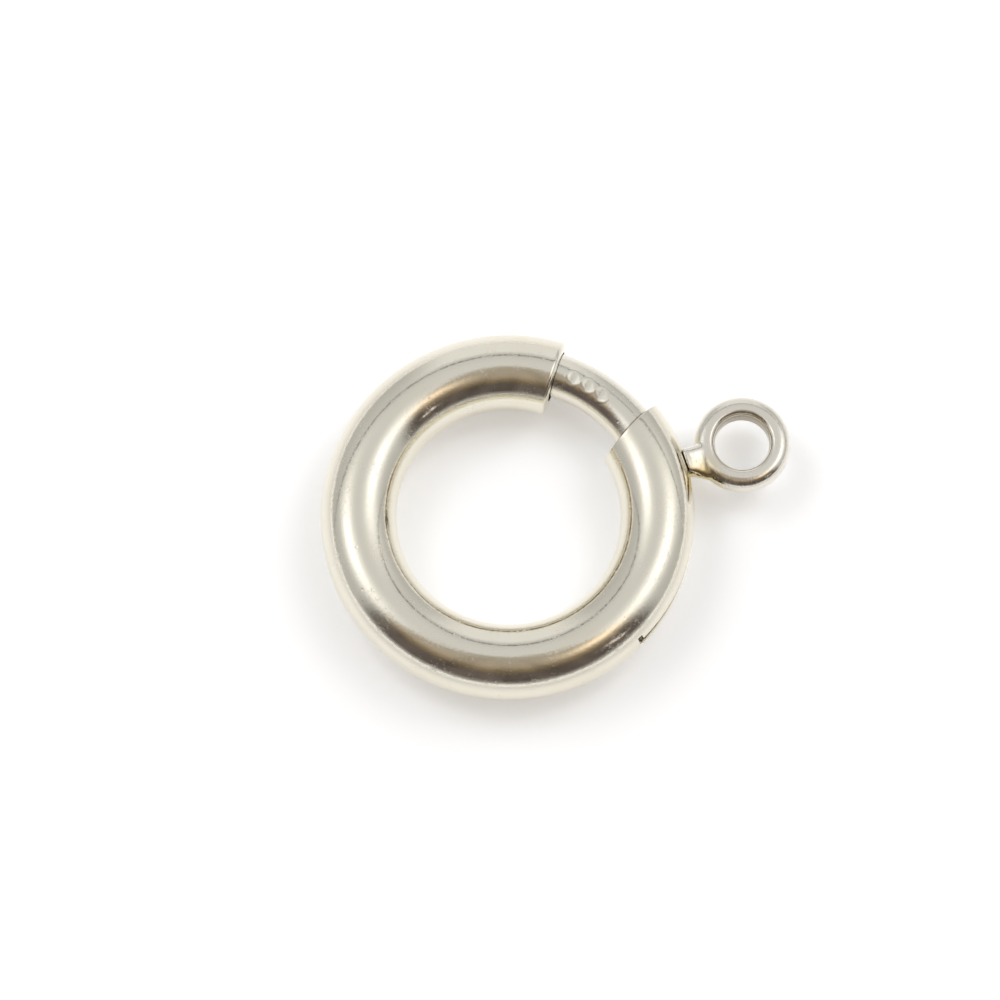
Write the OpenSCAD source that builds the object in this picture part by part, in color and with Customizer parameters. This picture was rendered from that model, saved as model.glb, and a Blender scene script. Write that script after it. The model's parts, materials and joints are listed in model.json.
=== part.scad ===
// Spring ring clasp: a hollow ring with a gap that a curved bolt closes. The bolt slides inside the ring against
// a coil spring, and the pull eye on it reaches out through a slot in the ring's outer wall.
// The origin is the ring's centre, halfway up its thickness. +Z is the ring's axis, and +X points to the middle
// of the pull eye. Sizes are in millimetres. Angles are in degrees, anticlockwise from +X.

/* [Ring] */
// Outer diameter of the ring
ring_d = 16; // [15:0.5:18]
// Outer diameter of the tube that the ring is bent from
tube_d = 3.24; // [3.1:0.02:3.4]
// Wall thickness of the tube
tube_wall = 0.3; // [0.2:0.05:0.3]
// Angle at which the bolt's housing ends, measured on the tube's centre line
housing_end_a = 17.2; // [15:0.2:19]
// How far the cut at that end is turned out of the radial direction
housing_end_skew = 12; // [0:1:14]
// Angle at which the tube begins again, on the side that catches the bolt's tip
catch_end_a = 54.8; // [53:0.2:56]

/* [Slot] */
// Width of the slot that the neck slides in
slot_w = 1; // [0.9:0.05:1.1]
// Angle of the slot's closed end
slot_back_a = -63; // [-66:0.5:-62]
// Width of the relief notch across the slot's closed end
notch_w = 0.25; // [0.2:0.05:0.3]
// Height of that notch
notch_h = 1.5; // [1.3:0.1:1.7]

/* [Bolt] */
// Diameter of the bolt's wire
bolt_d = 1.9; // [1.8:0.02:2]
// How far the bolt lies outside the tube's centre line
bolt_shift = 0.2; // [0.1:0.02:0.22]
// Angle of the bolt's tip, with the clasp closed
bolt_tip_a = 61; // [60:0.5:62]
// Angle of the bolt's tail, with the clasp closed
bolt_tail_a = -14; // [-16:0.5:-12]
// Size of the chamfer round the bolt's tip
tip_chamfer = 0.26; // [0.15:0.01:0.35]

/* [Neck] */
// Width of the neck inside the slot, along the ring
neck_w = 1.2; // [1.15:0.05:1.3]
// Clearance between the neck and each edge of the slot
neck_gap = 0.1; // [0.06:0.01:0.12]
// Diameter of the stub between the ring and the eye
stub_d = 1.15; // [1:0.05:1.15]
// Diameter of the solder collar at the foot of the stub
collar_d = 1.44; // [1.3:0.02:1.5]

/* [Eye] */
// Outer diameter of the pull eye
eye_d = 4.12; // [3.9:0.02:4.4]
// Diameter of the hole in the eye
eye_hole_d = 2.34; // [2.2:0.02:2.5]
// Diameter of the hole's chamfer at the eye's faces
eye_rim_d = 2.76; // [2.6:0.02:2.8]
// Thickness of the eye
eye_t = 1.22; // [1.2:0.02:1.3]
// Length of the straight wall inside the hole
eye_land = 0.76; // [0.6:0.02:0.8]
// Radius of the eye's rounded outer edge
eye_edge_r = 0.5; // [0.4:0.02:0.56]
// Gap between the ring and the eye
eye_gap = 0.39; // [0.35:0.01:0.6]

/* [Spring] */
// Number of turns in the coil spring
spring_turns = 20; // [16:1:22]
// Diameter of the spring's wire
spring_wire_d = 0.24; // [0.2:0.02:0.26]
// Clearance between the spring and the tube's bore
spring_gap = 0.15; // [0.1:0.01:0.2]
// Angle of the seat that the spring pushes against
seat_a = -173; // [-175:0.5:-170]
// Thickness of that seat
seat_t = 0.4; // [0.3:0.05:0.6]

/* [Hidden] */
$fn = 96;
silver = [0.84, 0.82, 0.75];
steel = [0.62, 0.62, 0.6];
full_turn = 360;
// Ring
ring_r = (ring_d - tube_d) / 2;
bore_d = tube_d - 2 * tube_wall;
end_cut = 2 * tube_d;
end_spare_a = 8;
// Neck and slot
neck_t = slot_w - 2 * neck_gap;
slot_in_r = ring_r + bore_d / 4;
slot_front_r = (ring_r + ring_d / 2) / 2;
slot_front_a = arc_deg(neck_w / 2 + neck_gap, slot_front_r);
// Bolt
bolt_r = ring_r + bolt_shift;
collar_gap = 0.08;
collar_h = 0.26;
// Eye
eye_x = ring_d / 2 + eye_gap + eye_d / 2;
eye_round_x = eye_d / 2 - eye_edge_r;
eye_round_z = eye_t / 2 - eye_edge_r;
// Spring
end_gap = 0.03;
coil_r = (bore_d - spring_wire_d) / 2 - spring_gap;
coil_steps = 16;
wire_sides = 6;
coil_len = ring_r * (bolt_tail_a - seat_a) * PI / 180 - spring_wire_d - 2 * end_gap;
coil_start = end_gap + spring_wire_d / 2;
end_pitch = spring_wire_d * 1.3;
mid_pitch = (coil_len - 2 * end_pitch) / (spring_turns - 2);

// Angle that an arc of the given length takes up
function arc_deg(length, radius) = length / radius * 180 / PI;

// Distance of the coil's wire from its first end after t turns. The first and last turns lie close, and the
// turns between them are evenly open.
function coil_run(t) =
    t < 1 ? t * end_pitch
    : t > spring_turns - 1 ? coil_len - (spring_turns - t) * end_pitch
    : end_pitch + (t - 1) * mid_pitch;

// One ring of points round the spring's wire after t turns
function wire_ring(t) =
    let (a = bolt_tail_a - arc_deg(coil_start + coil_run(t), ring_r),
         outward = [cos(a), sin(a), 0],
         along = [sin(a), -cos(a), 0],
         up = [0, 0, 1],
         u = full_turn * t,
         lead = atan(mid_pitch / (2 * PI * coil_r)),
         spoke = cos(u) * outward + sin(u) * up,
         round_coil = cos(u) * up - sin(u) * outward,
         side = cos(lead) * along - sin(lead) * round_coil)
    [for (k = [0 : wire_sides - 1])
        let (v = full_turn * k / wire_sides)
        ring_r * outward + coil_r * spoke + spring_wire_d / 2 * (cos(v) * spoke + sin(v) * side)];

// Sweeps a flat outline about the ring's axis
module sweep_arc(from_a, to_a) {
    rotate([0, 0, from_a])
        rotate_extrude(angle = to_a - from_a)
            children();
}

// Cuts the housing's end to its skewed plane
module housing_end_cut() {
    rotate([0, 0, housing_end_a])
        translate([ring_r, 0, 0])
            rotate([0, 0, housing_end_skew])
                translate([-end_cut / 2, 0, -end_cut / 2])
                    cube([end_cut, end_cut / 2, end_cut]);
}

// Slot for the neck, with a relief notch at its back end
module slot_cut() {
    sweep_arc(slot_back_a, slot_front_a)
        translate([slot_in_r, -slot_w / 2])
            square([tube_d, slot_w]);
    rotate([0, 0, slot_back_a])
        translate([slot_in_r, 0, -notch_h / 2])
            cube([tube_d, notch_w, notch_h]);
}

// Disc inside the tube that the spring pushes against
module spring_seat() {
    sweep_arc(seat_a - arc_deg(seat_t, ring_r), seat_a)
        translate([ring_r, 0])
            circle(d = bore_d + tube_wall);
}

// The hollow ring
module ring_tube() {
    color(silver) {
        difference() {
            sweep_arc(catch_end_a, housing_end_a + end_spare_a + full_turn)
                translate([ring_r, 0])
                    difference() {
                        circle(d = tube_d);
                        circle(d = bore_d);
                    }
            housing_end_cut();
            slot_cut();
        }
        spring_seat();
    }
}

// Cutter that chamfers the bolt's tip, built along the wire from the tip backwards
module tip_cut() {
    rotate([0, 0, bolt_tip_a])
        translate([bolt_r, 0, 0])
            rotate([90, 0, 0])
                rotate_extrude()
                    polygon([
                        [bolt_d / 2 - 2 * tip_chamfer, -tip_chamfer],
                        [bolt_d / 2 + tip_chamfer, -tip_chamfer],
                        [bolt_d / 2 + tip_chamfer, 2 * tip_chamfer]
                    ]);
}

// Curved wire with a chamfered tip
module bolt_wire() {
    difference() {
        sweep_arc(bolt_tail_a, bolt_tip_a)
            translate([bolt_r, 0])
                circle(d = bolt_d);
        tip_cut();
    }
}

// Neck: a flat bar through the slot, then a round stub on a solder collar
module neck() {
    rotate([0, 90, 0]) {
        translate([0, 0, bolt_r])
            linear_extrude(ring_d / 2 + collar_gap + collar_h / 2 - bolt_r) {
                square([neck_t, neck_w - neck_t], center = true);
                for (side = [-1, 1])
                    translate([0, side * (neck_w - neck_t) / 2])
                        circle(d = neck_t);
            }
        translate([0, 0, ring_d / 2 + collar_gap])
            cylinder(d1 = collar_d, d2 = stub_d, h = collar_h);
        translate([0, 0, ring_d / 2 + collar_gap + collar_h])
            cylinder(d = stub_d, h = (eye_d - eye_rim_d) / 2);
    }
}

// Outline of the space in the eye's hole, from its axis out to the chamfers and the straight wall between them
module eye_hole_outline() {
    polygon([
        [0, -eye_t],
        [eye_rim_d / 2, -eye_t],
        [eye_rim_d / 2, -eye_t / 2],
        [eye_hole_d / 2, -eye_land / 2],
        [eye_hole_d / 2, eye_land / 2],
        [eye_rim_d / 2, eye_t / 2],
        [eye_rim_d / 2, eye_t],
        [0, eye_t]
    ]);
}

// Flat eye with a rounded outer edge and a chamfered hole
module pull_eye() {
    translate([eye_x, 0, 0])
        rotate_extrude()
            difference() {
                union() {
                    translate([0, -eye_t / 2])
                        square([eye_round_x, eye_t]);
                    translate([0, -eye_round_z])
                        square([eye_d / 2, 2 * eye_round_z]);
                    for (side = [-1, 1])
                        translate([eye_round_x, side * eye_round_z])
                            circle(r = eye_edge_r);
                }
                eye_hole_outline();
            }
}

// The bolt, its neck and the pull eye, soldered into one piece
module bolt_and_eye() {
    color(silver) {
        bolt_wire();
        neck();
        pull_eye();
    }
}

// The spring behind the bolt, bent along the tube
module coil_spring() {
    rings = coil_steps * spring_turns;
    points = [for (i = [0 : rings]) each wire_ring(i / coil_steps)];
    walls = [
        for (i = [0 : rings - 1], k = [0 : wire_sides - 1])
            let (next = (k + 1) % wire_sides,
                 low = i * wire_sides,
                 high = low + wire_sides)
            [low + k, low + next, high + next, high + k]
    ];
    first_cap = [for (k = [wire_sides - 1 : -1 : 0]) k];
    last_cap = [for (k = [0 : wire_sides - 1]) rings * wire_sides + k];
    color(steel)
        polyhedron(points, concat([first_cap, last_cap], walls));
}

ring_tube();
bolt_and_eye();
coil_spring();
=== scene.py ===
import json
from math import asin, atan2, cos, degrees, hypot, pi, radians, sin, sqrt

import bmesh
import bpy
from bpy.props import FloatProperty, FloatVectorProperty, IntProperty, PointerProperty
from mathutils import Matrix, Vector, noise


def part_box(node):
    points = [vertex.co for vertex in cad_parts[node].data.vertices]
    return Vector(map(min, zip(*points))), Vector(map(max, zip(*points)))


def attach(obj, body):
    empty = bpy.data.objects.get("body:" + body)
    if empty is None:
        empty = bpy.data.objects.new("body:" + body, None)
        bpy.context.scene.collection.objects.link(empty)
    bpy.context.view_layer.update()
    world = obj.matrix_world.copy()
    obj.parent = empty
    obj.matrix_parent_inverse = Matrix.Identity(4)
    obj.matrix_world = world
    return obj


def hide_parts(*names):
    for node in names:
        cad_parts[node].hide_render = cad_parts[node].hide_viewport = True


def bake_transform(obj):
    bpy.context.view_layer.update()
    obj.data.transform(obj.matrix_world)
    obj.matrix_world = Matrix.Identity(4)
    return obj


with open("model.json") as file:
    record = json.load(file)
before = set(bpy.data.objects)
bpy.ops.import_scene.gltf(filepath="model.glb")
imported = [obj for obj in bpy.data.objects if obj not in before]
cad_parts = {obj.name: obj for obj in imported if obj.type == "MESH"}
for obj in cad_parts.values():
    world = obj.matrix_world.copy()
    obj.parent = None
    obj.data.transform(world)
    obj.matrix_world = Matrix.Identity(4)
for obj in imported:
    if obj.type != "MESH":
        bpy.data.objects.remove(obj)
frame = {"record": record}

bl_info = {
    "name": "Spring ring clasp",
    "version": (1, 0, 0),
    "blender": (4, 5, 0),
    "location": "3D Viewport > Sidebar > Clasp",
    "description": "Builds a spring ring clasp: its ring, bolt, pull eye and coil spring, and a stage",
    "category": "Add Mesh",
}

MM = 0.001
FULL_TURN = 2 * pi
# Sockets of a Mix node that mixes two colours
COLOUR_A, COLOUR_B, COLOUR_OUT = 6, 7, 2

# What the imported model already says. Lengths are in metres, and angles in radians, anticlockwise from +X.
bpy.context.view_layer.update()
RING_LOW, RING_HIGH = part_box("ring_tube")
BOLT_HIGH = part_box("bolt_and_eye")[1]
MOUNTS = {mount["name"]: mount for mount in frame["record"]["mounts"]}
RING_D = -2 * RING_LOW.x
TUBE_D = RING_HIGH.z - RING_LOW.z
FLOOR_Z = RING_LOW.z
EYE_X = MOUNTS["eye_bore"]["pos_m"][0]
EYE_HOLE_D = 2 * MOUNTS["eye_bore"]["dims"]["r_mm"] * MM
EYE_D = 2 * (BOLT_HIGH.x - EYE_X)
BOLT_RUN_R = Vector(MOUNTS["bolt_span"]["pos_m"]).length


class RingSizes(bpy.types.PropertyGroup):
    """Sizes of the hollow ring"""

    outer_d: FloatProperty(
        name="Outer diameter", description="Across the whole ring", default=RING_D, unit="LENGTH")
    tube_d: FloatProperty(name="Tube diameter", description="Across the tube", default=TUBE_D, unit="LENGTH")
    wall: FloatProperty(
        name="Wall", description="Thickness of the tube's wall", default=0.3 * MM, unit="LENGTH")
    catch_end: FloatProperty(
        name="Catch end", description="Where the tube begins", default=radians(54.1), unit="ROTATION")
    housing_end: FloatProperty(
        name="Housing end", description="Where the tube ends", default=radians(17.2), unit="ROTATION")
    housing_skew: FloatProperty(
        name="Skew", description="Turn of the housing's end cut", default=radians(12), unit="ROTATION")
    catch_roll: FloatProperty(
        name="Catch roll", description="Radius of the rim at the catch end", default=0.18 * MM, unit="LENGTH")
    housing_roll: FloatProperty(
        name="Housing roll", description="Radius of the housing end's rim", default=0.03 * MM, unit="LENGTH")
    mouth: FloatProperty(
        name="Mouth", description="How far the catch end closes in", default=0.22 * MM, unit="LENGTH")
    slot_w: FloatProperty(
        name="Slot width", description="Width of the neck's slot", default=1 * MM, unit="LENGTH")
    slot_back: FloatProperty(
        name="Slot back", description="Closed end of the slot", default=radians(-63), unit="ROTATION")
    slot_front: FloatProperty(
        name="Slot front", description="Front end of the slot", default=radians(5.58), unit="ROTATION")
    notch_w: FloatProperty(name="Notch width", description="Relief notch", default=0.25 * MM, unit="LENGTH")
    notch_h: FloatProperty(name="Notch height", description="Relief notch", default=1.5 * MM, unit="LENGTH")
    seat_at: FloatProperty(
        name="Seat", description="Where the spring rests", default=radians(-173), unit="ROTATION")
    seat_t: FloatProperty(
        name="Seat thickness", description="Of the spring's seat", default=0.4 * MM, unit="LENGTH")
    wobble: FloatProperty(
        name="Wobble", description="Depth of the bend's unevenness", default=0.010 * MM, unit="LENGTH")


class BoltSizes(bpy.types.PropertyGroup):
    """Sizes of the curved bolt"""

    wire_d: FloatProperty(
        name="Wire diameter", description="Across the bolt", default=1.9 * MM, unit="LENGTH")
    run_r: FloatProperty(
        name="Run radius", description="Of the bolt's centre line", default=BOLT_RUN_R, unit="LENGTH")
    tip: FloatProperty(name="Tip", description="Where the bolt ends", default=radians(61), unit="ROTATION")
    tail: FloatProperty(
        name="Tail", description="Where the bolt begins", default=radians(-14), unit="ROTATION")
    chamfer: FloatProperty(
        name="Chamfer", description="Round the bolt's tip", default=0.26 * MM, unit="LENGTH")
    punch_d: FloatProperty(
        name="Punch diameter", description="Of each punch mark", default=0.6 * MM, unit="LENGTH")
    punch_depth: FloatProperty(
        name="Punch depth", description="Of each mark", default=0.035 * MM, unit="LENGTH")


class EyeSizes(bpy.types.PropertyGroup):
    """Sizes of the pull eye and its neck"""

    centre: FloatProperty(
        name="Centre", description="Distance from the ring's centre", default=EYE_X, unit="LENGTH")
    outer_d: FloatProperty(name="Outer diameter", description="Across the eye", default=EYE_D, unit="LENGTH")
    hole_d: FloatProperty(
        name="Hole diameter", description="Of the hole's wall", default=EYE_HOLE_D, unit="LENGTH")
    rim_d: FloatProperty(
        name="Rim diameter", description="Of the hole's round edge", default=2.82 * MM, unit="LENGTH")
    thickness: FloatProperty(name="Thickness", description="Of the eye", default=1.22 * MM, unit="LENGTH")
    land: FloatProperty(name="Land", description="Straight wall of the hole", default=0.5 * MM, unit="LENGTH")
    edge_r: FloatProperty(
        name="Edge radius", description="Of the outer edge", default=0.5 * MM, unit="LENGTH")


class SpringSizes(bpy.types.PropertyGroup):
    """Sizes of the coil spring"""

    turns: IntProperty(name="Turns", description="Number of turns", default=20, min=4)
    wire_d: FloatProperty(
        name="Wire diameter", description="Across the wire", default=0.24 * MM, unit="LENGTH")
    gap: FloatProperty(
        name="Gap", description="Between the spring and the bore", default=0.15 * MM, unit="LENGTH")


class StageSizes(bpy.types.PropertyGroup):
    """Camera, lamps and floor"""

    azimuth: FloatProperty(
        name="Azimuth", description="Turn of the camera", default=radians(-17.6), unit="ROTATION")
    elevation: FloatProperty(
        name="Elevation", description="Of the camera above the floor", default=radians(75), unit="ROTATION")
    distance: FloatProperty(name="Distance", description="Camera to ring", default=0.3, unit="LENGTH")
    field: FloatProperty(
        name="Field", description="Width that the picture takes in", default=42.55 * MM, unit="LENGTH")
    aim: FloatVectorProperty(
        name="Aim", description="Picture's middle, right of and above the ring's centre", size=2,
        default=(-0.362 * MM, 0.702 * MM), unit="LENGTH")
    lamp_azimuth: FloatProperty(
        name="Lamp azimuth", description="Of each lamp, from the camera's side", default=radians(128),
        unit="ROTATION")
    lamp_zenith: FloatProperty(
        name="Lamp zenith", description="From straight up", default=radians(44), unit="ROTATION")
    lamp_away: FloatProperty(name="Lamp distance", description="Lamp to ring", default=0.5, unit="LENGTH")
    lamp_d: FloatProperty(name="Lamp diameter", description="Of each lamp", default=0.25, unit="LENGTH")
    lamp_power: FloatProperty(name="Lamp power", description="Of each lamp", default=0.46, unit="POWER")
    floor_r: FloatProperty(name="Floor radius", description="Of the level sheet", default=0.5, unit="LENGTH")
    floor_bend: FloatProperty(
        name="Floor bend", description="Radius of the sheet's rise at its rim", default=0.12, unit="LENGTH")


def linear(colour):
    """Linear red, green, blue and alpha of an sRGB hex colour."""
    shares = [int(colour[i:i + 2], 16) / 255 for i in (0, 2, 4)]
    return [s / 12.92 if s <= 0.04045 else ((s + 0.055) / 1.055) ** 2.4 for s in shares] + [1.0]


def add_node(tree, kind, inputs=None, **settings):
    """Adds a node with its settings. Each input takes a value, an output, or a node for its first output."""
    made = tree.nodes.new(kind)
    for name, value in settings.items():
        setattr(made, name, value)
    for key, value in (inputs or {}).items():
        if isinstance(value, bpy.types.Node):
            value = value.outputs[0]
        if isinstance(value, bpy.types.NodeSocket):
            tree.links.new(value, made.inputs[key])
        else:
            made.inputs[key].default_value = value
    return made


def new_material(name):
    """A material with only a Principled shader. Returns the material, its tree and the shader."""
    material = bpy.data.materials.new(name)
    material.use_nodes = True
    tree = material.node_tree
    tree.nodes.clear()
    shader = add_node(tree, "ShaderNodeBsdfPrincipled")
    add_node(tree, "ShaderNodeOutputMaterial", {"Surface": shader.outputs[0]})
    return material, tree, shader


def polished_silver(name, tint, tarnish, haze, grain, corner=None, residue=None):
    """Sterling silver, soldered, pickled and polished on a wheel.

    The eye gets a warm mirror with soft dark and light bands. The wheel leaves a fine grain, which shows
    where the metal mirrors something dark, and a few casting pits. Within a distance of one point's upright
    line, the colour is darkened: painted shade. Round another point it is tinted yellow: a painted warm
    reflection."""
    material, tree, shader = new_material(name)
    place = add_node(tree, "ShaderNodeTexCoord").outputs["Object"]
    # Tarnish in clouds about 2 mm across
    clouds = add_node(tree, "ShaderNodeTexNoise", {"Vector": place, "Scale": 0.45 / MM, "Detail": 3.0})
    shades = {"Factor": clouds.outputs["Fac"], COLOUR_A: linear(tint), COLOUR_B: linear(tarnish)}
    tone = add_node(tree, "ShaderNodeMix", shades, data_type="RGBA").outputs[COLOUR_OUT]
    spots = []
    if corner:
        point, reach = corner
        level = add_node(tree, "ShaderNodeVectorMath", {0: place, 1: (1, 1, 0)}, operation="MULTIPLY")
        # Painted shade: A89F8D darkens the metal near the point's upright line
        spots.append((level, point, reach, reach - 0.06 * MM, "A89F8D"))
    if residue:
        point, reach = residue
        # Painted warm reflection: DCCB9B tints the metal yellow round the point
        spots.append((place, point, reach, 0.3 * reach, "DCCB9B"))
    for start, point, edge, middle, colour in spots:
        away = add_node(tree, "ShaderNodeVectorMath", {0: start, 1: point}, operation="DISTANCE")
        share = add_node(tree, "ShaderNodeMapRange", {
            "Value": away.outputs["Value"], "From Min": edge, "From Max": middle},
            interpolation_type="SMOOTHSTEP")
        shades = {"Factor": share, COLOUR_A: tone, COLOUR_B: linear(colour)}
        tone = add_node(tree, "ShaderNodeMix", shades, data_type="RGBA").outputs[COLOUR_OUT]
    # Place along the wire and across it, so that the grain runs round the ring, whose radius this is
    run_r = 6.4 * MM
    axes = add_node(tree, "ShaderNodeSeparateXYZ", {0: place}).outputs
    bearing = add_node(tree, "ShaderNodeMath", {0: axes["Y"], 1: axes["X"]}, operation="ARCTAN2")
    along = add_node(tree, "ShaderNodeMath", {0: bearing, 1: run_r}, operation="MULTIPLY")
    flat = add_node(tree, "ShaderNodeCombineXYZ", {0: axes["X"], 1: axes["Y"]})
    across = add_node(tree, "ShaderNodeVectorMath", {0: flat}, operation="LENGTH").outputs["Value"]
    lengthwise = add_node(tree, "ShaderNodeCombineXYZ", {0: along, 1: across, 2: axes["Z"]})
    # Wheel grain of 0.03 by 0.05 mm, drawn three times as coarse as the real one so that it shows
    stretched = add_node(tree, "ShaderNodeVectorMath", {0: lengthwise, 1: (7 / MM, 10 / MM, 10 / MM)},
                         operation="MULTIPLY")
    grit = add_node(tree, "ShaderNodeTexNoise", {"Vector": stretched, "Scale": 1.0, "Detail": 3.0})
    grit = grit.outputs["Fac"]
    relief = add_node(tree, "ShaderNodeBump", {"Height": grit, "Strength": grain, "Distance": 0.006 * MM})
    # Unevenness of the hand finish, in soft facets about 0.5 by 1.6 mm
    faceted = add_node(tree, "ShaderNodeVectorMath", {0: lengthwise, 1: (0.6 / MM, 1.9 / MM, 1.9 / MM)},
                       operation="MULTIPLY")
    waves = add_node(tree, "ShaderNodeTexNoise", {"Vector": faceted, "Scale": 1.0, "Detail": 1.0})
    relief = add_node(tree, "ShaderNodeBump", {
        "Height": waves.outputs["Fac"], "Strength": 0.12, "Distance": 0.03 * MM, "Normal": relief})
    # Casting pits of about 0.1 mm, each at the middle of a cell 1.3 mm wide, so that few lie on the surface
    cells = add_node(tree, "ShaderNodeTexVoronoi", {"Vector": place, "Scale": 0.75 / MM})
    pits = add_node(tree, "ShaderNodeMapRange", {
        "Value": cells.outputs["Distance"], "From Min": 0.01, "From Max": 0.06})
    relief = add_node(tree, "ShaderNodeBump", {
        "Height": pits, "Strength": 0.25, "Distance": 0.02 * MM, "Normal": relief})
    # Compound haze: the polish is duller in patches about 1 mm across, where the grain scatters light
    patches = add_node(tree, "ShaderNodeTexNoise", {"Vector": place, "Scale": 1 / MM, "Detail": 4.0})
    patches = patches.outputs["Fac"]
    scatter = add_node(tree, "ShaderNodeMapRange", {
        "Value": patches, "From Min": 0.42, "From Max": 0.6, "To Min": 1.2, "To Max": 2.8})
    specks = add_node(tree, "ShaderNodeMapRange", {
        "Value": grit, "From Min": 0.5, "From Max": 0.68, "To Min": 1.0, "To Max": scatter})
    dulled = add_node(tree, "ShaderNodeMapRange", {
        "Value": patches, "From Min": 0.35, "From Max": 0.75, "To Min": haze, "To Max": haze * 1.5})
    rough = add_node(tree, "ShaderNodeMath", {0: dulled, 1: specks}, operation="MULTIPLY")
    for key, value in (("Base Color", tone), ("Roughness", rough.outputs[0]), ("Normal", relief.outputs[0])):
        tree.links.new(value, shader.inputs[key])
    shader.inputs["Metallic"].default_value = 1.0
    return material


def drawn_steel(name):
    """Spring steel wire, drawn through a die. The eye gets a grey with a dull sheen."""
    material, tree, shader = new_material(name)
    place = add_node(tree, "ShaderNodeTexCoord").outputs["Object"]
    streaks = add_node(tree, "ShaderNodeTexNoise", {"Vector": place, "Scale": 6 / MM, "Detail": 2.0})
    shades = {"Factor": streaks.outputs["Fac"], COLOUR_A: linear("C9C8C4"), COLOUR_B: linear("A5A39E")}
    tone = add_node(tree, "ShaderNodeMix", shades, data_type="RGBA")
    tree.links.new(tone.outputs[COLOUR_OUT], shader.inputs["Base Color"])
    shader.inputs["Metallic"].default_value = 1.0
    shader.inputs["Roughness"].default_value = 0.34
    return material


def opal_sheet(name):
    """White opal acrylic sheet, cast: white all through, glowing a little, under a clear glossy skin.

    The eye gets a white floor that mirrors the tent only where it is seen at a low angle."""
    material, tree, shader = new_material(name)
    place = add_node(tree, "ShaderNodeTexCoord").outputs["Object"]
    milk = add_node(tree, "ShaderNodeTexNoise", {"Vector": place, "Scale": 40.0, "Detail": 2.0})
    shades = {"Factor": milk.outputs["Fac"], COLOUR_A: linear("F8F8F8"), COLOUR_B: linear("F5F5F5")}
    tone = add_node(tree, "ShaderNodeMix", shades, data_type="RGBA")
    tree.links.new(tone.outputs[COLOUR_OUT], shader.inputs["Base Color"])
    settings = {
        "Emission Color": linear("FFFFFF"),
        "Emission Strength": 0.3,
        "Specular IOR Level": 0.0,
        "Coat Weight": 1.0,
        "Coat IOR": 1.49,
        "Coat Roughness": 0.12,
    }
    for key, value in settings.items():
        shader.inputs[key].default_value = value
    return material


def round_point(radius, angle, height):
    """Point at that distance from the ring's axis, at that angle and height."""
    return Vector((radius * cos(angle), radius * sin(angle), height))


def spread(first, last, steps):
    """Evenly spaced values from first up to, and not including, last."""
    return [first + (last - first) * i / steps for i in range(steps)]


def loft(mesh, sections):
    """Joins closed sections of equal count with quads, caps both ends and returns the sections' vertices."""
    rows = [[mesh.verts.new(point) for point in section] for section in sections]
    count = len(rows[0])
    for one, two in zip(rows, rows[1:]):
        for j in range(count):
            k = (j + 1) % count
            mesh.faces.new((one[j], one[k], two[k], two[j]))
    mesh.faces.new(rows[0])
    mesh.faces.new(rows[-1])
    return rows


def place_piece(name, mesh, material, body, node, crease=radians(38)):
    """Makes the drafted mesh a piece that rides on a body and stands for a node."""
    bmesh.ops.recalc_face_normals(mesh, faces=mesh.faces)
    data = bpy.data.meshes.new(name)
    mesh.to_mesh(data)
    mesh.free()
    data.materials.append(material)
    data.shade_smooth()
    data.set_sharp_from_angle(angle=crease)
    piece = bpy.data.objects.new(name, data)
    bpy.context.scene.collection.objects.link(piece)
    if body:
        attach(piece, body)
    if node:
        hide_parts(node)
    return piece


def at_bench_scale(mesh, *modifiers):
    """Runs modifiers on a mesh that is a thousand times larger, as they lose hold of lengths under 0.1 mm."""
    bmesh.ops.scale(mesh, vec=(1 / MM, 1 / MM, 1 / MM), verts=mesh.verts)
    data = bpy.data.meshes.new("bench")
    mesh.to_mesh(data)
    bench = bpy.data.objects.new("bench", data)
    bpy.context.scene.collection.objects.link(bench)
    for kind, settings in modifiers:
        added = bench.modifiers.new(kind.title(), kind)
        for name, value in settings.items():
            setattr(added, name, value)
    bpy.context.view_layer.update()
    worked = bench.evaluated_get(bpy.context.evaluated_depsgraph_get())
    mesh.clear()
    mesh.from_mesh(worked.to_mesh())
    worked.to_mesh_clear()
    bpy.data.objects.remove(bench)
    bpy.data.meshes.remove(data)
    bmesh.ops.scale(mesh, vec=(MM, MM, MM), verts=mesh.verts)
    return mesh


def section_rows(ring):
    """Angles round the tube, from its outermost line, for the outer skin and the bore.

    Rows fall on the edges of the slot and of the notch, which lie level, so their angles differ a little
    between the skin and the bore."""
    skin_r = ring.tube_d / 2
    bore_r = skin_r - ring.wall
    levels = (0, ring.slot_w / 2, ring.notch_h / 2)
    breaks = [(asin(level / skin_r), asin(level / bore_r)) for level in levels] + [(pi, pi)]
    # Rows to the slot's edge, on to the notch's edge, and on to the innermost line
    counts = (4, 2, 36)
    half = []
    for (skin_a, bore_a), (skin_b, bore_b), steps in zip(breaks, breaks[1:], counts):
        half += list(zip(spread(skin_a, skin_b, steps), spread(bore_a, bore_b, steps)))
    half.append((pi, pi))
    return [(-skin, -bore) for skin, bore in half[:0:-1]] + half[:-1]


def rim_steps(radius):
    """Steps over a rounded rim, from its end inwards: how far along the tube, and how far in."""
    steps = 6
    turns = [pi / 2 * (1 - k / steps) for k in range(steps + 1)]
    return [(radius * (1 - sin(t)), radius * (1 - cos(t))) for t in turns]


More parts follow.
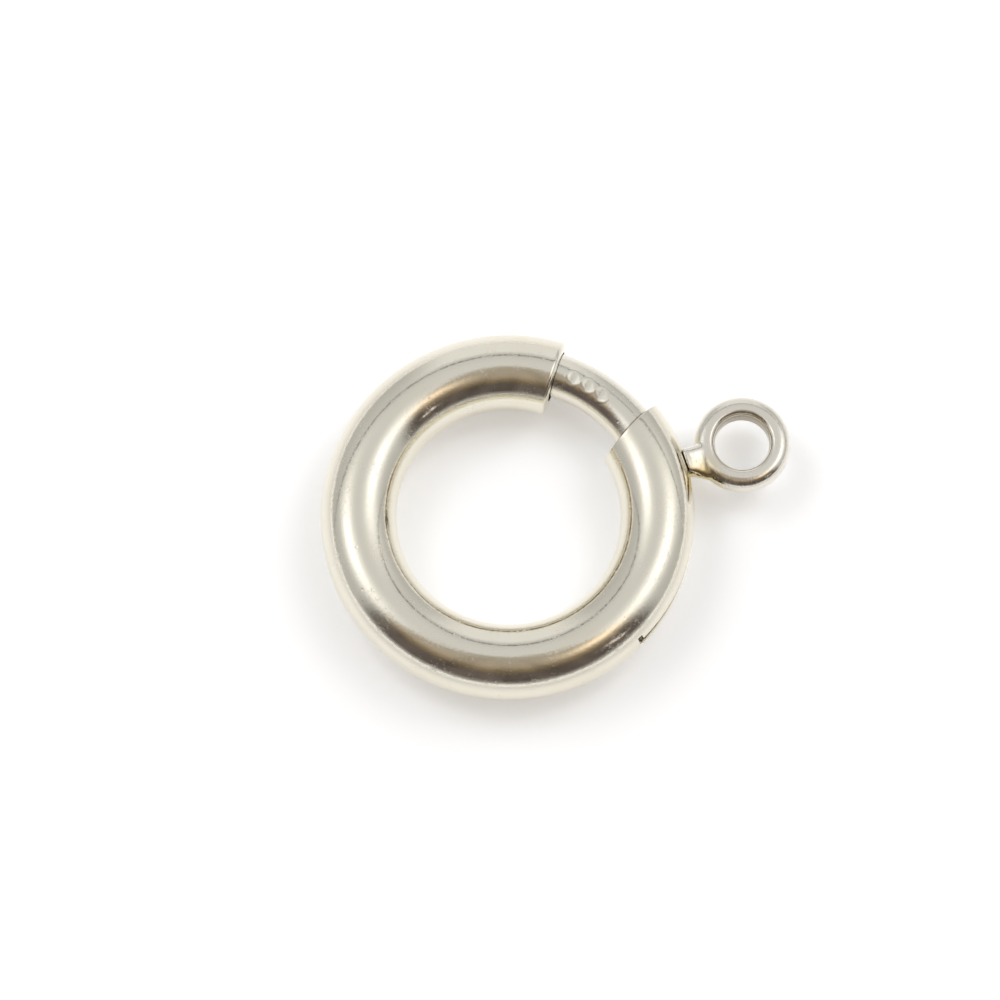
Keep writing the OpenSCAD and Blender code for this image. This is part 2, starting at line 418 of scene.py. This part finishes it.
def ring_columns(ring):
    """Stations along the tube: angle, share of the housing end's skew, and how far the rim rolls in."""
    run_r = (ring.outer_d - ring.tube_d) / 2
    notch_a = ring.notch_w / (ring.outer_d / 2)
    back = ring.slot_back + FULL_TURN
    front = ring.slot_front + FULL_TURN
    end = ring.housing_end + FULL_TURN
    # Plain stations keep clear of the rolled rims
    plain_start = ring.catch_end + 1.3 * ring.catch_roll / run_r
    plain_end = end - 1.5 * ring.housing_roll / run_r
    body_steps, notch_steps, slot_steps, end_steps = 210, 2, 60, 10
    columns = [(ring.catch_end + along / run_r, 0, inward) for along, inward in rim_steps(ring.catch_roll)]
    columns += [(a, 0, 0) for a in spread(plain_start, back, body_steps)]
    columns += [(a, 0, 0) for a in spread(back, back + notch_a, notch_steps)]
    columns += [(a, 0, 0) for a in spread(back + notch_a, front, slot_steps)]
    columns += [(a, (a - front) / (end - front), 0) for a in spread(front, plain_end, end_steps)]
    columns += [(end - along / run_r, 1, inward) for along, inward in rim_steps(ring.housing_roll)[::-1]]
    return columns


def draft_ring(ring):
    """The hollow ring's skin and bore, with the walls of its ends, slot and notch."""
    run_r = (ring.outer_d - ring.tube_d) / 2
    skin_r = ring.tube_d / 2
    bore_r = skin_r - ring.wall
    rows = section_rows(ring)
    columns = ring_columns(ring)
    slot_span = (ring.slot_back + FULL_TURN, ring.slot_front + FULL_TURN)
    notch_end = slot_span[0] + ring.notch_w / (ring.outer_d / 2)
    wave = 2.6 * MM
    mouth_a = 0.35 * MM / run_r
    mouth_aside = 0.6
    lip_r = 0.05 * MM
    seat_sides = 48
    mesh = bmesh.new()
    lips = mesh.edges.layers.float.new("bevel_weight_edge")

    def skew(radius):
        """How far the skewed end cut lies ahead of its middle, at that distance from the ring's axis."""
        return ring.housing_skew - asin(run_r * sin(ring.housing_skew) / radius)

    def shell_point(column, turn, tube_r):
        angle, share, inward = column
        radius = run_r + (tube_r - inward) * cos(turn)
        return round_point(radius, angle + share * skew(radius), (tube_r - inward) * sin(turn))

    def uneven(point):
        """The bend's unevenness, always inwards."""
        return ring.wobble * (noise.noise(point / wave) - 1) / 2

    def skin_point(angle, share, inward, turn):
        dent = uneven(shell_point((angle, share, inward), turn, skin_r))
        return shell_point((angle, share, inward - dent), turn, skin_r)

    skin = [[mesh.verts.new(skin_point(*column, turn)) for turn, _ in rows] for column in columns]
    bore = []
    for a, s, _ in columns:
        # The catch end closes in on the bolt, which lies a little outside the tube's centre line
        close = ring.mouth * max(0, 1 - (a - ring.catch_end) / mouth_a)
        bore.append([])
        for _, turn in rows:
            point = shell_point((a, s, close), turn, bore_r)
            bore[-1].append(mesh.verts.new(point + round_point(mouth_aside * close, a, 0)))

    def is_metal(i, j):
        """Whether the cell between stations i and i + 1 and rows j and j + 1 is metal."""
        if not 0 <= i < len(columns) - 1:
            return False
        middle = (columns[i][0] + columns[i + 1][0]) / 2
        level = skin_r * sin((rows[j][0] + rows[(j + 1) % len(rows)][0]) / 2 if j + 1 < len(rows) else pi)
        outward = abs(rows[j][0]) < pi / 2
        if outward and slot_span[0] < middle < notch_end and abs(level) < ring.notch_h / 2:
            return False
        return not (outward and slot_span[0] < middle < slot_span[1] and abs(level) < ring.slot_w / 2)

    for i in range(-1, len(columns) - 1):
        for j in range(len(rows)):
            k = (j + 1) % len(rows)
            here = is_metal(i, j)
            if here:
                for layer in (skin, bore):
                    mesh.faces.new((layer[i][j], layer[i][k], layer[i + 1][k], layer[i + 1][j]))
            if here != is_metal(i + 1, j):
                wall = mesh.faces.new((skin[i + 1][j], skin[i + 1][k], bore[i + 1][k], bore[i + 1][j]))
                if 0 <= i < len(columns) - 2:
                    wall.edges[0][lips] = wall.edges[2][lips] = 1.0
            if i >= 0 and here != is_metal(i, (j - 1) % len(rows)):
                wall = mesh.faces.new((skin[i][j], skin[i + 1][j], bore[i + 1][j], bore[i][j]))
                wall.edges[0][lips] = wall.edges[2][lips] = 1.0
    bmesh.ops.delete(mesh, geom=[v for v in mesh.verts if not v.link_faces], context="VERTS")
    bmesh.ops.recalc_face_normals(mesh, faces=mesh.faces)
    at_bench_scale(mesh, ("BEVEL", {"limit_method": "WEIGHT", "width": lip_r / MM, "segments": 3}))
    # The spring's seat, a disc across the bore that is let a little into the wall
    seat_r = bore_r + 0.02 * MM
    seat_a = ring.seat_t / run_r
    loft(mesh, [[round_point(run_r + seat_r * cos(t), ring.seat_at - along, seat_r * sin(t))
                 for t in spread(0, FULL_TURN, seat_sides)] for along in (seat_a, 0)])
    return mesh


class MESH_OT_clasp_ring(bpy.types.Operator):
    """Build the hollow ring, with its slot, relief notch, rolled rims and spring seat"""

    bl_idname = "mesh.clasp_ring"
    bl_label = "Ring"

    def execute(self, context):
        mesh = draft_ring(context.scene.clasp_ring)
        silver = polished_silver("polished_sterling_tube", "F0ECDF", "EAE4D3", 0.09, 0.4)
        place_piece("ring_shell", mesh, silver, "ring", "ring_tube")
        return {"FINISHED"}


def draft_bolt(bolt):
    """The curved wire, with a chamfered tip and three plain round punch marks in a row."""
    wire_r = bolt.wire_d / 2
    sides = 128
    # The marks lie on the bolt's top. Stations lie closer from marks_from to marks_to.
    punch_turn = radians(95)
    first_punch, punch_step = 47.1, 6.2
    punch_at = [radians(first_punch - punch_step * k) for k in range(3)]
    punch_r = bolt.punch_d / 2
    burr_reach = 1.4
    burr_h = 0.004 * MM
    marks_from, marks_to = radians(28), radians(54)
    tail_chamfer = 0.1 * MM

    def wire_point(angle, turn, inward):
        radius = bolt.run_r + (wire_r - inward) * cos(turn)
        return round_point(radius, angle, (wire_r - inward) * sin(turn))

    def punched(angle, turn):
        """Depth of the punch marks at a place on the wire: a soft cup with a low burr round it."""
        deepest = 0
        for at in punch_at:
            away = hypot((angle - at) * bolt.run_r, (turn - punch_turn) * wire_r) / punch_r
            if away < 1:
                deepest += bolt.punch_depth * (1 - away ** 3) ** 2
            elif away < burr_reach:
                deepest -= burr_h * sin((away - 1) / (burr_reach - 1) * pi)
        return deepest

    tail_a = tail_chamfer / bolt.run_r
    tip_a = bolt.chamfer / bolt.run_r
    stations = [(bolt.tail, tail_chamfer), (bolt.tail + tail_a, 0)]
    stations += [(a, 0) for a in spread(bolt.tail + 2 * tail_a, marks_from, 60)]
    stations += [(a, 0) for a in spread(marks_from, marks_to, 90)]
    stations += [(a, 0) for a in spread(marks_to, bolt.tip - tip_a, 10)]
    stations += [(bolt.tip - tip_a * (1 - t), bolt.chamfer * t * t) for t in (0, 0.25, 0.5, 0.75, 1)]
    mesh = bmesh.new()
    loft(mesh, [[wire_point(a, t, inward + punched(a, t)) for t in spread(0, FULL_TURN, sides)]
                for a, inward in stations])
    return mesh


class MESH_OT_clasp_bolt(bpy.types.Operator):
    """Build the bolt's curved wire with its punch marks"""

    bl_idname = "mesh.clasp_bolt"
    bl_label = "Bolt"

    def execute(self, context):
        ring = context.scene.clasp_ring
        mesh = draft_bolt(context.scene.clasp_bolt)
        # Painted shade where the bolt goes into the housing: its colour is darkened inside it and in a thin
        # band at the mouth.
        # This circle is so wide that it runs straight along the end's cut.
        reach = 50 * MM
        end = round_point((ring.outer_d - ring.tube_d) / 2, ring.housing_end, 0)
        inside = end - round_point(reach, ring.housing_end + ring.housing_skew + pi / 2, 0)
        silver = polished_silver("polished_sterling_wire", "EFECE0", "E8E2D4", 0.10, 0.45,
                                 corner=(inside, reach + 0.2 * MM))
        place_piece("bolt_wire", mesh, silver, "bolt", "bolt_and_eye")
        return {"FINISHED"}


def draft_eye(eye):
    """The pull eye and its neck, fused with soft solder fillets."""
    mesh = bmesh.new()
    sides = 128
    edge_steps = 10
    round_x = eye.outer_d / 2 - eye.edge_r
    round_z = eye.thickness / 2 - eye.edge_r
    rim_in = (eye.rim_d - eye.hole_d) / 2
    rim_down = (eye.thickness - eye.land) / 2
    turns = spread(0, pi / 2, edge_steps)
    rim = [(eye.rim_d / 2 - rim_in * cos(t), eye.land / 2 + rim_down * sin(t)) for t in turns]
    rim.append((eye.rim_d / 2, eye.thickness / 2))
    profile = rim[:]
    profile += [(round_x + eye.edge_r * sin(t), round_z + eye.edge_r * cos(t)) for t in turns]
    profile += [(round_x + eye.edge_r * cos(t), -round_z - eye.edge_r * sin(t)) for t in turns]
    profile += [(r, -z) for r, z in rim[::-1]]
    rows = [[mesh.verts.new((eye.centre + r * cos(a), r * sin(a), z)) for r, z in profile]
            for a in spread(0, FULL_TURN, sides)]
    for i in range(sides):
        one, two = rows[i], rows[(i + 1) % sides]
        for j in range(len(profile)):
            k = (j + 1) % len(profile)
            mesh.faces.new((one[j], two[j], two[k], one[k]))
    # Neck, in millimetres: station along +X, half width, half height and middle, and the lean of its top. Its
    # foot lies against the ring, and it flares into the side of the eye.
    neck = (
        (7.0, 0.60, 0.40, 0, 0),
        (7.9, 0.60, 0.40, 0, 0),
        (7.98, 0.57, 0.38, -0.05, 0),
        (8.045, 0.58, 0.72, -0.09, 0.1),
        (8.11, 0.60, 0.72, -0.12, 0.15),
        (8.22, 0.64, 0.69, -0.18, 0.19),
        (8.42, 0.72, 0.62, -0.25, 0.2),
        (8.62, 0.80, 0.57, -0.30, 0.17),
        (8.84, 0.88, 0.56, -0.32, 0.08),
        (9.05, 0.95, 0.56, -0.32, 0),
    )
    neck_sides = 48
    # How far the section is from round: 1 is round, and 0 is square
    flatness = 0.45
    # How much more its underside rises on the low side than its top leans
    undercut = 4
    # The foot is hollowed to a little more than the tube's radius, and the hollow fades out up to hollow_end
    hollow_r = 1.64
    hollow_end = 8.3
    hollow_fade = 0.2

    def swell(share):
        """Cosine or sine on the squarish section."""
        return abs(share) ** flatness * (1 if share > 0 else -1)

    def neck_point(station, turn):
        x, wide, high, middle, lean = station
        aside = wide * swell(cos(turn))
        z = high * swell(sin(turn)) + lean * aside
        if z < 0:
            z -= undercut * lean * min(0, aside)
        hollow = hollow_r - sqrt(hollow_r ** 2 - z ** 2)
        share = min(1, max(0, (hollow_end - x) / hollow_fade))
        return Vector((x - hollow * share, middle + aside, z)) * MM

    loft(mesh, [[neck_point(station, t) for t in spread(0, FULL_TURN, neck_sides)] for station in neck])
    bmesh.ops.recalc_face_normals(mesh, faces=mesh.faces)
    at_bench_scale(mesh, ("REMESH", {"mode": "VOXEL", "voxel_size": 0.03, "adaptivity": 0.0}),
                   ("SMOOTH", {"factor": 0.5, "iterations": 4}))
    # The solder flows into a soft fillet where the neck meets the eye
    flow_from, flow_to, flow_aside = 8.12 * MM, 9.1 * MM, 1.5 * MM
    flow_passes = 24
    solder = [v for v in mesh.verts if flow_from < v.co.x < flow_to and abs(v.co.y) < flow_aside]
    for _ in range(flow_passes):
        bmesh.ops.smooth_vert(
            mesh, verts=solder, factor=0.5, use_axis_x=True, use_axis_y=True, use_axis_z=True)
    return mesh


class MESH_OT_clasp_eye(bpy.types.Operator):
    """Build the pull eye and its neck"""

    bl_idname = "mesh.clasp_eye"
    bl_label = "Pull eye"

    def execute(self, context):
        eye = context.scene.clasp_eye
        mesh = draft_eye(eye)
        # Painted shade darkens the hole's wall, and a painted warm reflection tints the underside of the neck
        # yellow
        under_neck = Vector((8.35, -0.85, -0.15)) * MM
        silver = polished_silver("polished_sterling_casting", "F0ECE2", "E9E3D6", 0.10, 0.4,
                                 corner=((eye.centre, 0, 0), eye.hole_d / 2 + 0.07 * MM),
                                 residue=(under_neck, 1.4 * MM))
        place_piece("pull_eye", mesh, silver, "bolt", "bolt_and_eye", crease=pi)
        return {"FINISHED"}


def draft_spring(spring, ring, bolt):
    """The coil behind the bolt, bent along the bore: close turns at both ends and open ones between."""
    run_r = (ring.outer_d - ring.tube_d) / 2
    wire_r = spring.wire_d / 2
    coil_r = ring.tube_d / 2 - ring.wall - spring.gap - wire_r
    spare = 0.03 * MM
    length = run_r * (bolt.tail - ring.seat_at) - spring.wire_d - 2 * spare
    end_pitch = spring.wire_d * 1.3
    pitch = (length - 2 * end_pitch) / (spring.turns - 2)
    steps = 28
    wire_sides = 10
    lead = atan2(pitch, FULL_TURN * coil_r)

    def section(turn):
        along = min(turn, 1) * end_pitch + min(max(turn - 1, 0), spring.turns - 2) * pitch
        along += max(turn - spring.turns + 1, 0) * end_pitch
        angle = bolt.tail - (spare + wire_r + along) / run_r
        outward = round_point(1, angle, 0)
        forward = Vector((sin(angle), -cos(angle), 0))
        up = Vector((0, 0, 1))
        spoke = outward * cos(FULL_TURN * turn) + up * sin(FULL_TURN * turn)
        sweep = up * cos(FULL_TURN * turn) - outward * sin(FULL_TURN * turn)
        side = forward * cos(lead) - sweep * sin(lead)
        middle = outward * run_r + spoke * coil_r
        return [middle + (spoke * cos(t) + side * sin(t)) * wire_r for t in spread(0, FULL_TURN, wire_sides)]

    mesh = bmesh.new()
    loft(mesh, [section(i / steps) for i in range(steps * spring.turns + 1)])
    return mesh


class MESH_OT_clasp_spring(bpy.types.Operator):
    """Build the coil spring"""

    bl_idname = "mesh.clasp_spring"
    bl_label = "Spring"

    def execute(self, context):
        scene = context.scene
        ring, bolt = scene.clasp_ring, scene.clasp_bolt
        mesh = draft_spring(scene.clasp_spring, ring, bolt)
        piece = place_piece(
            "spring_coil", mesh, drawn_steel("drawn_spring_steel"), None, "coil_spring")
        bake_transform(piece)
        return {"FINISHED"}


def draft_floor(stage):
    """A round sheet that curves up at its rim into a backdrop."""
    mesh = bmesh.new()
    sides = 128
    profile = [(share * stage.floor_r, 0) for share in (0.1, 0.3, 0.6, 1)]
    profile += [(stage.floor_r + stage.floor_bend * sin(t), stage.floor_bend * (1 - cos(t)))
                for t in spread(radians(8), radians(60), 7)]
    rows = [[mesh.verts.new(round_point(r, a, FLOOR_Z + z)) for a in spread(0, FULL_TURN, sides)]
            for r, z in profile]
    for one, two in zip(rows, rows[1:]):
        for j in range(sides):
            k = (j + 1) % sides
            mesh.faces.new((one[j], one[k], two[k], two[j]))
    mesh.faces.new(rows[0])
    return mesh


def place_camera(stage):
    """A long lens over the ring, at the photograph's angle."""
    back = round_point(cos(stage.elevation), stage.azimuth - pi / 2, sin(stage.elevation))
    turn = (-back).to_track_quat("-Z", "Y")
    data = bpy.data.cameras.new("camera")
    data.sensor_width = 36
    data.lens = data.sensor_width * stage.distance / stage.field
    data.clip_start = 0.01
    data.clip_end = 10
    camera = bpy.data.objects.new("camera", data)
    camera.rotation_mode = "QUATERNION"
    camera.rotation_quaternion = turn
    camera.location = back * stage.distance + turn @ Vector((stage.aim[0], stage.aim[1], 0))
    bpy.context.scene.collection.objects.link(camera)
    bpy.context.scene.camera = camera


def direction(azimuth, zenith):
    """Direction in the tent, in degrees: azimuth from the camera's side to the right, zenith from the top."""
    a, z = radians(azimuth), radians(zenith)
    return (sin(z) * sin(a), -sin(z) * cos(a), cos(z))


def light_tent(stage):
    """White light tent round the table: soft boxes, a pale back panel and a dark opening for the camera.

    Bearings run from the camera's side. Heights are the sine of the angle above the table."""
    world = bpy.data.worlds.new("light_tent")
    bpy.context.scene.world = world
    world.use_nodes = True
    tree = world.node_tree
    tree.nodes.clear()
    ray = add_node(tree, "ShaderNodeTexCoord").outputs["Generated"]
    ray = add_node(tree, "ShaderNodeVectorRotate", {"Vector": ray, "Angle": -stage.azimuth},
                   rotation_type="Z_AXIS").outputs[0]
    side, back, up = add_node(tree, "ShaderNodeSeparateXYZ", {0: ray}).outputs
    front = add_node(tree, "ShaderNodeMath", {0: back, 1: -1.0}, operation="MULTIPLY")
    bearing = add_node(tree, "ShaderNodeMath", {0: side, 1: front}, operation="ARCTAN2")
    off_front = add_node(tree, "ShaderNodeMath", {0: bearing}, operation="ABSOLUTE")
    lens = add_node(tree, "ShaderNodeVectorMath", {0: ray, 1: direction(0, 4)}, operation="DOT_PRODUCT")
    # Each part of the tent and its bounds: a measure, and where the part starts to show and shows in full
    bounds = {
        "panel": ((off_front, radians(150), radians(166)), (up, 0.74, 0.62)),
        "opening": ((off_front, radians(74), radians(59)), (front, -0.03, 0.12), (up, 0.0, 0.31)),
        "lens": ((lens.outputs["Value"], cos(radians(9)), cos(radians(2))),),
    }
    part = {}
    for name, limits in bounds.items():
        part[name] = 1.0
        for measure, none, full in limits:
            step = add_node(tree, "ShaderNodeMapRange", {
                "Value": measure, "From Min": none, "From Max": full}, interpolation_type="SMOOTHSTEP")
            part[name] = add_node(tree, "ShaderNodeMath", {0: step, 1: part[name]}, operation="MULTIPLY")
    # Colours by height: the tent's cloth, and the room behind the opening
    heights = {
        "cloth": ((0.0, "C6C6C6"), (0.2, "C2C2C2"), (0.45, "C8C8C8"), (0.75, "CECECE"), (0.95, "DADADA")),
        "room": ((0.0, "605855"), (0.62, "5F5753"), (0.7, "6C604F"), (0.79, "867764"), (0.87, "A09382"),
                 (0.95, "A69D90")),
    }
    by_height = {}
    for name, stops in heights.items():
        by_height[name] = add_node(tree, "ShaderNodeValToRGB", {0: up})
        ramp = by_height[name].color_ramp
        while len(ramp.elements) < len(stops):
            ramp.elements.new(1.0)
        for element, (at, colour) in zip(ramp.elements, stops):
            element.position = at
            element.color = linear(colour)
    shades = {"Factor": part["panel"], COLOUR_A: by_height["cloth"], COLOUR_B: linear("EEEEEE")}
    light = add_node(tree, "ShaderNodeMix", shades, data_type="RGBA").outputs[COLOUR_OUT]
    # Folds of the cloth and things in the room, in streaks that rise towards the lens
    stretched = add_node(tree, "ShaderNodeMath", {0: bearing, 1: 6.0}, operation="MULTIPLY")
    folds = add_node(tree, "ShaderNodeCombineXYZ", {0: stretched, 1: up})
    folds = add_node(tree, "ShaderNodeTexNoise", {"Vector": folds, "Scale": 1.0, "Detail": 2.0})
    folds = add_node(tree, "ShaderNodeMapRange", {
        "Value": folds.outputs["Fac"], "From Min": 0.35, "From Max": 0.65, "To Min": 0.72, "To Max": 1.4})
    room = add_node(tree, "ShaderNodeVectorMath", {0: by_height["room"], "Scale": folds}, operation="SCALE")
    lens = add_node(tree, "ShaderNodeMath", {0: part["lens"], 1: 0.95}, operation="MULTIPLY")
    dark = add_node(tree, "ShaderNodeMath", {0: part["opening"], 1: lens}, operation="MAXIMUM")
    shades = {"Factor": dark, COLOUR_A: light, COLOUR_B: room}
    light = add_node(tree, "ShaderNodeMix", shades, data_type="RGBA").outputs[COLOUR_OUT]
    # Each soft box and gap of light: azimuth, zenith, how narrow, colour and strength
    boxes = (
        (-100, 37, 27, "FFFFFF", 0.95),
        (97, 34, 27, "FFFFFF", 0.9),
        (114, 51, 24, "FFFFFF", 0.3),
        (53, 26, 110, "FFE6C6", 0.8),
        (47, 57, 2500, "FFF6F0", 2.0),
        (51, 61, 2500, "FFF6F0", 2.0),
    )
    for azimuth, zenith, narrow, colour, strength in boxes:
        near = add_node(tree, "ShaderNodeVectorMath", {0: ray, 1: direction(azimuth, zenith)},
                        operation="DOT_PRODUCT").outputs["Value"]
        near = add_node(tree, "ShaderNodeMath", {0: near, 1: 0.0}, operation="MAXIMUM")
        glow = add_node(tree, "ShaderNodeMath", {0: near, 1: float(narrow)}, operation="POWER")
        glow = add_node(tree, "ShaderNodeMath", {0: glow, 1: strength}, operation="MULTIPLY")
        tint = linear(colour)[:3]
        lit = add_node(tree, "ShaderNodeVectorMath", {0: tint, "Scale": glow}, operation="SCALE")
        light = add_node(tree, "ShaderNodeVectorMath", {0: light, 1: lit}, operation="ADD")
    # Seam of the tent: a thin dark level line across the back, where this slope is 0.8
    slope = add_node(tree, "ShaderNodeMath", {0: back, 1: up}, operation="DIVIDE")
    off_seam = add_node(tree, "ShaderNodeMath", {0: slope, 1: 0.8}, operation="SUBTRACT")
    off_seam = add_node(tree, "ShaderNodeMath", {0: off_seam}, operation="ABSOLUTE")
    seam = add_node(tree, "ShaderNodeMapRange", {
        "Value": off_seam, "From Min": 0.02, "From Max": 0.042, "To Min": 0.05, "To Max": 1.0},
        interpolation_type="SMOOTHSTEP")
    light = add_node(tree, "ShaderNodeVectorMath", {0: light, "Scale": seam}, operation="SCALE")
    shader = add_node(tree, "ShaderNodeBackground", {"Color": light})
    add_node(tree, "ShaderNodeOutputWorld", {"Surface": shader})


def hang_lamps(stage):
    """Two soft lamps behind the tent's cloth. The metal mirrors the cloth, so the lamps don't show in it."""
    for azimuth in (-stage.lamp_azimuth, stage.lamp_azimuth):
        data = bpy.data.lights.new("lamp", "AREA")
        data.shape = "DISK"
        data.size = stage.lamp_d
        data.energy = stage.lamp_power
        data.color = linear("F2F6FF")[:3]
        lamp = bpy.data.objects.new("lamp", data)
        towards = Vector(direction(degrees(azimuth), degrees(stage.lamp_zenith)))
        towards.rotate(Matrix.Rotation(stage.azimuth, 3, "Z"))
        lamp.location = towards * stage.lamp_away
        lamp.rotation_mode = "QUATERNION"
        lamp.rotation_quaternion = towards.to_track_quat("Z", "Y")
        lamp.visible_glossy = False
        bpy.context.scene.collection.objects.link(lamp)


class SCENE_OT_clasp_stage(bpy.types.Operator):
    """Set the camera, the light tent and the white sheet under the clasp"""

    bl_idname = "scene.clasp_stage"
    bl_label = "Stage"

    def execute(self, context):
        stage = context.scene.clasp_stage
        place_camera(stage)
        light_tent(stage)
        hang_lamps(stage)
        context.scene.view_settings.view_transform = "Standard"
        floor = place_piece("floor", draft_floor(stage), opal_sheet("opal_acrylic_sheet"), None, None)
        return {"FINISHED"}


class VIEW3D_PT_clasp(bpy.types.Panel):
    """Buttons that build the clasp"""

    bl_label = "Spring ring clasp"
    bl_space_type = "VIEW_3D"
    bl_region_type = "UI"
    bl_category = "Clasp"

    def draw(self, context):
        for operator in OPERATORS:
            self.layout.operator(operator.bl_idname)


GROUPS = {
    "clasp_stage": StageSizes,
    "clasp_ring": RingSizes,
    "clasp_bolt": BoltSizes,
    "clasp_eye": EyeSizes,
    "clasp_spring": SpringSizes,
}
OPERATORS = (
    SCENE_OT_clasp_stage,
    MESH_OT_clasp_ring,
    MESH_OT_clasp_bolt,
    MESH_OT_clasp_eye,
    MESH_OT_clasp_spring,
)


def register():
    for name, group in GROUPS.items():
        bpy.utils.register_class(group)
        setattr(bpy.types.Scene, name, PointerProperty(type=group))
    for made in (*OPERATORS, VIEW3D_PT_clasp):
        bpy.utils.register_class(made)


def unregister():
    for made in (VIEW3D_PT_clasp, *reversed(OPERATORS)):
        bpy.utils.unregister_class(made)
    for name, group in reversed(GROUPS.items()):
        delattr(bpy.types.Scene, name)
        bpy.utils.unregister_class(group)


def main():
    register()
    bpy.ops.scene.clasp_stage()
    bpy.ops.mesh.clasp_ring()
    bpy.ops.mesh.clasp_bolt()
    bpy.ops.mesh.clasp_eye()
    bpy.ops.mesh.clasp_spring()


if __name__ == "__main__":
    main()
